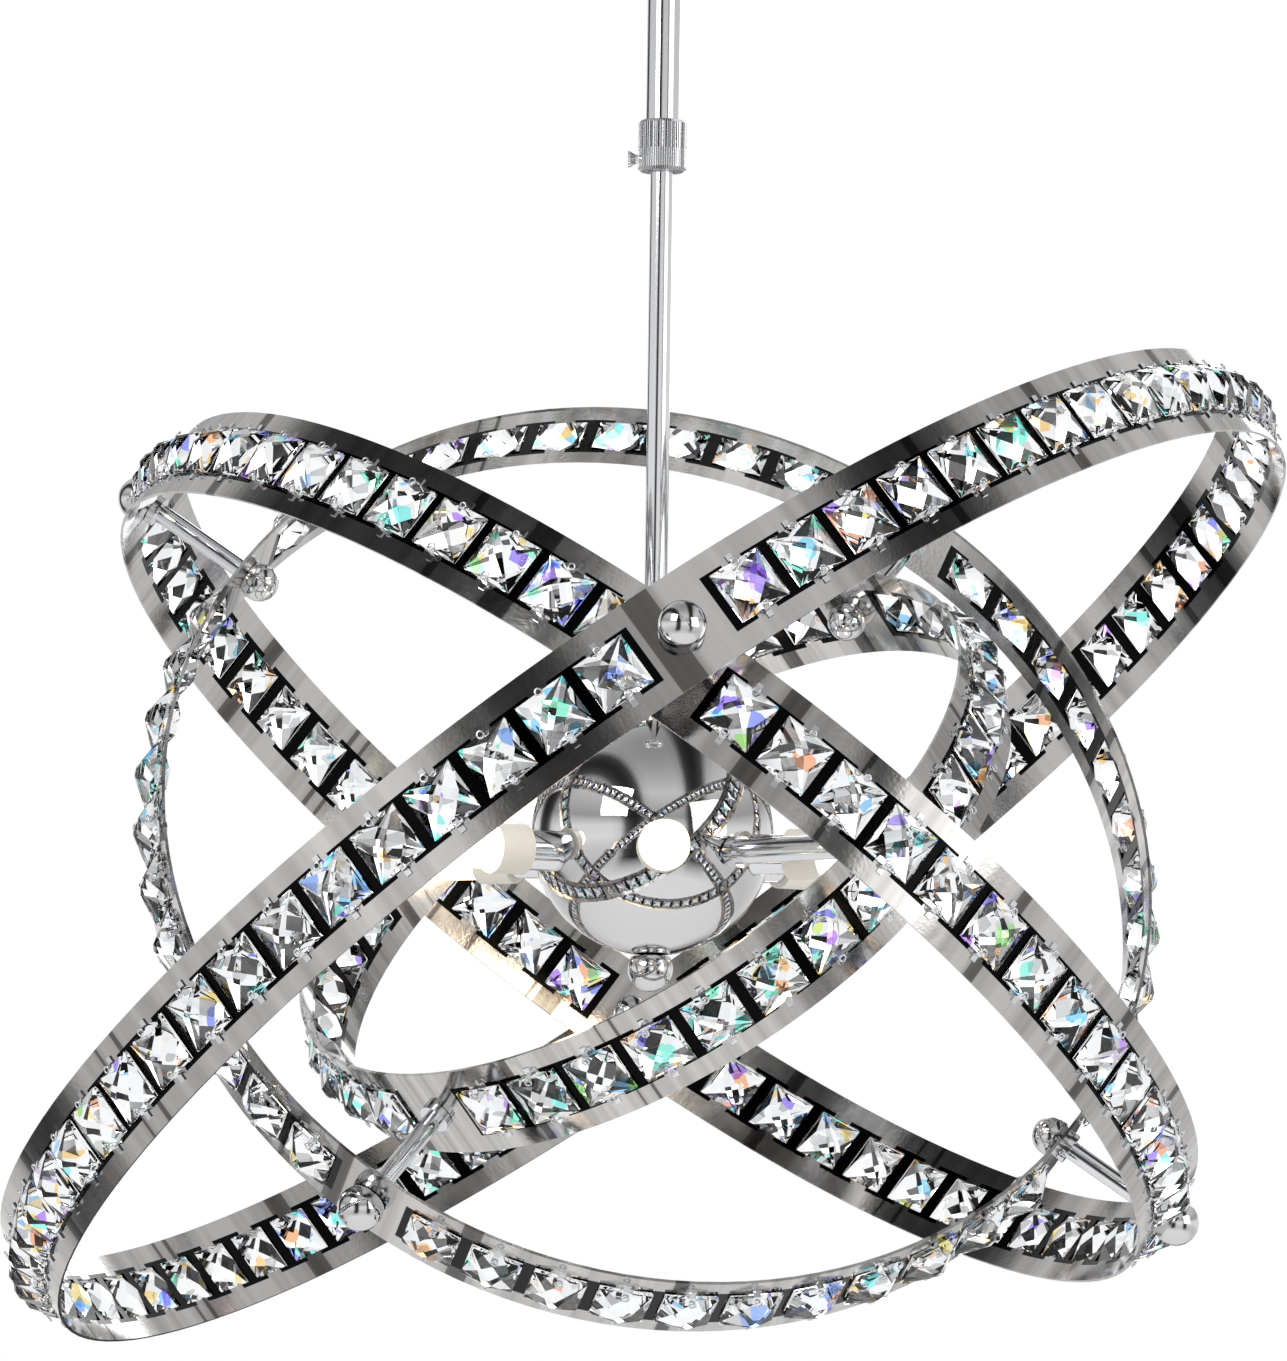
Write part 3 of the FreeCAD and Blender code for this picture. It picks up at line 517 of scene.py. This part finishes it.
@dataclass
class Hoops:
    """The four hoops: their frames, strip finishes and the wire eyelets at the prongs.

    The radii, pitch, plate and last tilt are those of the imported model, in metres and degrees.
    """

    inner_radius: float = 0.151
    step: float = 0.048
    thickness: float = 0.0012
    plate: float = 0.030
    pitch: float = 0.0255
    last_tilt: float = -109.4
    eyelet_radius: float = 0.0013
    eyelet_wire: float = 0.00038
    eyelet_across: float = 0.0098
    eyelet_lift: float = 0.0042
    eyelet_around: int = 10
    eyelet_section: int = 5
    frames: list[RingFrame] = field(default_factory=list)

    def __post_init__(self) -> None:
        """Work out each hoop's axes from the joints they tilt on."""
        joints = {joint["name"]: joint for joint in frame["joints"]}
        pivots = [np.array(joints[f"{ring}_tilt"]["axis"], float) for ring in RINGS]
        centre = tuple(joints["first_ring_tilt"]["pos_m"])
        axle = np.zeros(3)
        for index, ring in enumerate(RINGS):
            pivot = pivots[index]
            if index < len(RINGS) - 1:
                side = pivots[index + 1]
            else:
                turn = Matrix.Rotation(math.radians(self.last_tilt), 3, Vector(pivot))
                side = np.cross(np.array(turn @ Vector(axle)), pivot)
            axle = np.cross(pivot, side)
            radius = self.inner_radius + self.step * index
            arcs = 2 if index == len(RINGS) - 1 else 4
            count = int((2 * math.pi * radius / arcs - self.plate) / self.pitch)
            self.frames.append(RingFrame(ring, centre, tuple(pivot), tuple(side), tuple(axle),
                                         radius, arcs, count, self.pitch))

    def eyelets(self, ring: RingFrame) -> bpy.types.Object:
        """Small closed wire loops, one over each prong and about 0.45 mm clear of it.

        Each loop is a torus: a circle of the wire's radius carried round a circle of the eyelet's
        radius. Its axis points out of the hoop, and copies stand at every crystal's two prongs.

        Args:
            ring: the hoop that they belong to.

        Returns:
            One object with all the hoop's eyelets.
        """
        around, section = self.eyelet_around, self.eyelet_section
        u = np.linspace(0, 2 * math.pi, around, endpoint=False)[:, None]
        v = np.linspace(0, 2 * math.pi, section, endpoint=False)[None, :]
        reach = self.eyelet_radius + self.eyelet_wire * np.cos(v)
        torus = np.stack([reach * np.cos(u), reach * np.sin(u),
                          self.eyelet_wire * np.sin(v) + 0 * u], axis=-1).reshape(-1, 3)
        row, column = np.meshgrid(np.arange(around), np.arange(section), indexing="ij")
        quads = np.stack([row * section + column, (row + 1) % around * section + column,
                          (row + 1) % around * section + (column + 1) % section,
                          row * section + (column + 1) % section], axis=-1).reshape(-1, 4)
        angles = ring.angles()
        cosine, sine = np.cos(angles)[:, None], np.sin(angles)[:, None]
        along, across, out = torus.T[:, None]
        out = out + ring.radius + self.thickness / 2 + self.eyelet_lift
        rows = [np.stack([out * cosine - along * sine, out * sine + along * cosine,
                          side * self.eyelet_across + across + 0 * cosine], axis=-1)
                for side in (-1.0, 1.0)]
        points = ring.world(np.concatenate(rows).reshape(-1, 3))
        firsts = np.arange(len(points) // len(torus))[:, None, None] * len(torus)
        faces = (quads[None] + firsts).reshape(-1, 4)
        return smooth_object(f"{ring.name}_eyelets", points, faces)

    def dress(self, groups: Groups, wire: bpy.types.Material, crystal: bpy.types.Material) -> None:
        """Give each hoop its finishes and its eyelets."""
        for ring in self.frames:
            strip = StripFinish(f"{ring.name}_strip", ring).build(groups)
            put_material(f"{ring.name}_band", strip)
            put_material(f"{ring.name}_crystals", crystal)
            put_material(f"{ring.name}_prongs", wire)
            loops = self.eyelets(ring)
            loops.data.materials.append(wire)
            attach(loops, ring.name)
            log.info("%s: %d crystals, each with two eyelets", loops.name, ring.count * ring.arcs)


def smooth_object(name: str, points: np.ndarray, faces: np.ndarray) -> bpy.types.Object:
    """A smooth-shaded object at the origin from arrays of points and quads.

    Args:
        name: the object's name.
        points: an n by 3 array in metres.
        faces: an m by 4 array of point numbers.

    Returns:
        The new object, linked to the scene with its faces pointing outwards.
    """
    mesh = bpy.data.meshes.new(name)
    mesh.from_pydata(points.tolist(), [], faces.tolist())
    mesh.polygons.foreach_set("use_smooth", np.ones(len(faces), bool))
    mesh.update()
    thing = bpy.data.objects.new(name, mesh)
    bpy.context.scene.collection.objects.link(thing)
    return thing


def put_material(node: str, material: bpy.types.Material) -> None:
    """Dress a CAD node in one material."""
    mesh = frame["nodes"][node].data
    mesh.materials.clear()
    mesh.materials.append(material)
    log.info("%s: %s", node, material.name)


# --- Hub, lamps, stem and pivots ----------------------------------------------------------------

class Metal(Enum):
    """The metals of the fittings."""

    MIRROR = MetalFinish("mirror_chrome", (0.70, 0.70, 0.71), roughness=0.015, smudge=0.02)
    ROD = MetalFinish("rod_chrome", (0.78, 0.79, 0.81), roughness=0.05, smudge=0.05)
    STEEL = MetalFinish("zinc_steel", (0.56, 0.57, 0.58), roughness=0.28, smudge=0.15)
    BRASS = MetalFinish("turned_brass", (0.72, 0.54, 0.26), roughness=0.22, smudge=0.10)


class Moulded(Enum):
    """The fired and moulded parts."""

    HOLDER = MouldedFinish("lamp_ceramic", (0.93, 0.90, 0.82), (0.86, 0.82, 0.72),
                           roughness=0.4)
    NYLON = MouldedFinish("natural_nylon", (0.86, 0.85, 0.80), (0.78, 0.77, 0.72),
                          roughness=0.5)


@dataclass
class Fittings:
    """Everything that isn't a hoop, by finish."""

    mirror: tuple[str, ...] = ("hub_upper_shell", "hub_lower_shell", "finial_nut", "hub_top_nut",
                               "hub_pivot_ball_nuts", "canopy_dish", "canopy_cap_nuts",
                               "stem_ferrule")
    rod: tuple[str, ...] = ("upper_tube", "lower_tube", "thumb_screw", "lamp_necks",
                            "hub_pivot_rods", "hub_pivot_flanges", "hub_pivot_washers")
    steel: tuple[str, ...] = ("ceiling_bracket", "canopy_studs", "stem_nut", "stem_nipple",
                              "retaining_ring", "through_rod", "lamp_arms", "lamp_arm_nuts",
                              "bulb_pins")
    brass: tuple[str, ...] = ("hub_core", "tube_plug", "tube_head")
    nylon: tuple[str, ...] = ("terminal_block", "collar_bush", "guide_bush")

    def dress(self, groups: Groups) -> dict[Metal, bpy.types.Material]:
        """Give every fitting its finish.

        Returns:
            The metals' materials, for pieces that share them.
        """
        metals = {metal: metal.value.build(groups) for metal in Metal}
        pivoted = RINGS[:-1]
        balls = [f"{ring}_pivot_{kind}_nuts" for ring in pivoted for kind in ("inner", "outer")]
        rods = [f"{ring}_pivot_{kind}" for ring in pivoted for kind in ("rods", "washers")]
        for material, nodes in ((metals[Metal.MIRROR], (*self.mirror, *balls)),
                                (metals[Metal.ROD], (*self.rod, *rods)),
                                (metals[Metal.STEEL], self.steel),
                                (metals[Metal.BRASS], self.brass),
                                (Moulded.NYLON.value.build(groups), self.nylon),
                                (Moulded.HOLDER.value.build(groups), ("lamp_holders",)),
                                (KnurledFinish().build(groups), ("clamp_collar",)),
                                (LitGlassFinish().build(groups), ("bulbs",))):
            for node in nodes:
                put_material(node, material)
        return metals


# --- Studio and camera --------------------------------------------------------------------------

@dataclass(frozen=True)
class SoftLamp:
    """A square soft lamp: its place, its power in watts and its side in metres."""

    name: str
    place: tuple[float, float, float]
    power: float
    side: float

    def build(self, target: tuple[float, float, float]) -> None:
        """Hang the lamp so that it faces the target."""
        light = bpy.data.lights.new(self.name, "AREA")
        light.energy = self.power
        light.size = self.side
        thing = bpy.data.objects.new(self.name, light)
        bpy.context.scene.collection.objects.link(thing)
        thing.location = self.place
        aim = Vector(target) - Vector(self.place)
        thing.rotation_euler = aim.to_track_quat("-Z", "Y").to_euler()


@dataclass
class Studio:
    """White surroundings with dark gaps between the soft boxes, a pale floor and three lamps."""

    lamps: tuple[SoftLamp, ...] = (SoftLamp("key", (-1.4, -1.8, 0.6), 22.0, 1.2),
                                   SoftLamp("fill", (1.8, -1.2, -0.2), 9.0, 1.4),
                                   SoftLamp("back", (0.4, 2.0, 0.4), 9.0, 1.2))
    lamp_target: tuple[float, float, float] = (0.0, 0.0, -0.59)
    floor_drop: float = 1.9
    floor_radius: float = 3.0
    floor_sides: int = 96
    floor_colour: Colour = (0.93, 0.93, 0.93)
    floor_roughness: float = 0.9
    fade_start: float = 0.5
    fade_end: float = 0.98
    plain_level: Colour = (0.75, 0.75, 0.75)
    room_levels: Stops = ((0.0, 0.26), (0.20, 0.60), (0.40, 0.78), (0.46, 0.95),
                          (0.55, 0.90), (0.62, 0.42), (0.80, 0.72), (1.0, 0.34))
    gap_count: float = 6.2
    gap_slant: float = 2.1
    gap_turn: float = 0.6
    gap_levels: Stops = ((0.0, 0.05), (0.12, 0.14), (0.32, 0.85), (0.6, 1.0))
    patch_scale: float = 2.8
    patch_detail: float = 0.5
    patch_roughness: float = 0.4
    patch_levels: Stops = ((0.41, 0.0), (0.44, 0.10), (0.455, 0.85), (0.50, 1.0))

    def world(self) -> None:
        """Surroundings that the camera sees as white.

        Mirror rays see a room of soft boxes: a grey floor, a white belt at eye level, and grey
        boxes above. The level is a ramp on the direction's height. The soft upright gaps between
        the boxes are a cosine of its two sideways parts. Refracted rays see white broken by black
        patches, which is what makes cut glass dark in places.
        """
        world = bpy.data.worlds.new("studio")
        bpy.context.scene.world = world
        world.use_nodes = True
        tree = NodeTree(world.node_tree)
        direction = tree.add("ShaderNodeTexCoord").outputs["Generated"]
        parts = tree.add("ShaderNodeSeparateXYZ", inputs={0: direction}).outputs
        height = tree.maths("MULTIPLY_ADD", parts[2], 0.5, 0.5)
        level = tree.ramp(height, self.room_levels)
        slant = tree.maths("MULTIPLY_ADD", parts[1], self.gap_slant, self.gap_turn)
        phase = tree.maths("MULTIPLY_ADD", parts[0], self.gap_count, slant)
        turn = tree.maths("MULTIPLY_ADD", tree.maths("COSINE", phase), 0.5, 0.5)
        room = tree.multiply(level, tree.ramp(turn, self.gap_levels))
        patches = tree.add("ShaderNodeTexNoise", inputs={
            "Vector": direction, "Scale": self.patch_scale, "Detail": self.patch_detail,
            "Roughness": self.patch_roughness})
        broken = tree.ramp(patches.outputs[0], self.patch_levels)
        path = tree.add("ShaderNodeLightPath")
        mirrored = tree.mix(path.outputs["Is Glossy Ray"], self.plain_level, room)
        other = tree.mix(path.outputs["Is Transmission Ray"], mirrored, broken)
        colour = tree.mix(path.outputs["Is Camera Ray"], other, WHITE)
        background = tree.add("ShaderNodeBackground", inputs={"Color": colour, "Strength": 1.0})
        tree.add("ShaderNodeOutputWorld", inputs={"Surface": background.outputs[0]})

    def floor(self) -> None:
        """A round pale floor well below the lamp, fading into the white at its edge."""
        angles = np.linspace(0, 2 * math.pi, self.floor_sides, endpoint=False)
        rim = np.stack([self.floor_radius * np.cos(angles), self.floor_radius * np.sin(angles),
                        np.full(self.floor_sides, -self.floor_drop)], axis=-1)
        mesh = bpy.data.meshes.new("floor")
        mesh.from_pydata(rim.tolist(), [], [list(range(self.floor_sides))])
        floor = bpy.data.objects.new("floor", mesh)
        bpy.context.scene.collection.objects.link(floor)
        material, tree = new_material("pale_floor")
        flat = tree.vector("MULTIPLY", tree.object_coordinates(), (1.0, 1.0, 0.0))
        fade = tree.add("ShaderNodeMapRange", inputs={
            "Value": tree.vector("LENGTH", flat.outputs[0]).outputs["Value"],
            "From Min": self.floor_radius * self.fade_start,
            "From Max": self.floor_radius * self.fade_end, "To Min": 1.0, "To Max": 0.0})
        finish_with(tree, {"Base Color": rgba(self.floor_colour),
                           "Roughness": self.floor_roughness, "Alpha": fade.outputs[0]})
        mesh.materials.append(material)

    def build(self) -> None:
        """Put up the whole studio."""
        self.world()
        self.floor()
        for lamp in self.lamps:
            lamp.build(self.lamp_target)


@dataclass
class PhotoCamera:
    """The camera at the photograph's place, with its optical axis through the picture's centre.

    It stands at a distance and rise from the hub, looks at the hub, and then turns until the hub
    lies at its own pixel. The hub's radius in pixels gives the focal length.
    """

    hub_height: float = -0.583
    distance: float = 3.05
    rise: float = math.radians(-3.67)
    roll: float = math.radians(-0.83)
    hub_radius: float = 0.048
    hub_radius_px: float = 121.0
    hub_px: tuple[float, float] = (654.5, 835.0)
    frame_px: tuple[float, float] = (1287.0, 1361.0)
    sensor: float = 36.0
    farthest: float = 50.0

    def build(self) -> None:
        """Make the camera and set it as the scene's own."""
        focal_px = self.hub_radius_px * self.distance / self.hub_radius
        data = bpy.data.cameras.new("photo_camera")
        data.sensor_fit = "HORIZONTAL"
        data.sensor_width = self.sensor
        data.lens = focal_px / self.frame_px[0] * self.sensor
        data.clip_end = self.farthest
        camera = bpy.data.objects.new("photo_camera", data)
        bpy.context.scene.collection.objects.link(camera)
        place = Vector((0.0, -self.distance * math.cos(self.rise),
                        self.distance * math.sin(self.rise) + self.hub_height))
        forward = (Vector((0.0, 0.0, self.hub_height)) - place).normalized()
        right = Vector((1.0, 0.0, 0.0))
        above = right.cross(forward)
        up_turn = math.atan((self.hub_px[1] - self.frame_px[1] / 2) / focal_px)
        side_turn = math.atan((self.hub_px[0] - self.frame_px[0] / 2) / focal_px)
        turn = Matrix.Rotation(side_turn, 3, above) @ Matrix.Rotation(up_turn, 3, right)
        forward, right, above = turn @ forward, turn @ right, turn @ above
        spin = Matrix.Rotation(self.roll, 3, forward)
        right, above = spin @ right, spin @ above
        turned = Matrix((right, above, -forward)).transposed().to_4x4()
        camera.matrix_world = Matrix.Translation(place) @ turned
        bpy.context.scene.camera = camera
        log.info("camera: lens %.1f mm at %.2f m", data.lens, self.distance)


def main() -> None:
    """Dress the chandelier and set the scene."""
    groups = Groups()
    PhotoCamera().build()
    Studio().build()
    metals = Fittings().dress(groups)
    Hoops().dress(groups, metals[Metal.ROD], CrystalFinish().build(groups))
    bpy.context.scene.view_settings.view_transform = "Standard"


if __name__ == "__main__":
    main()
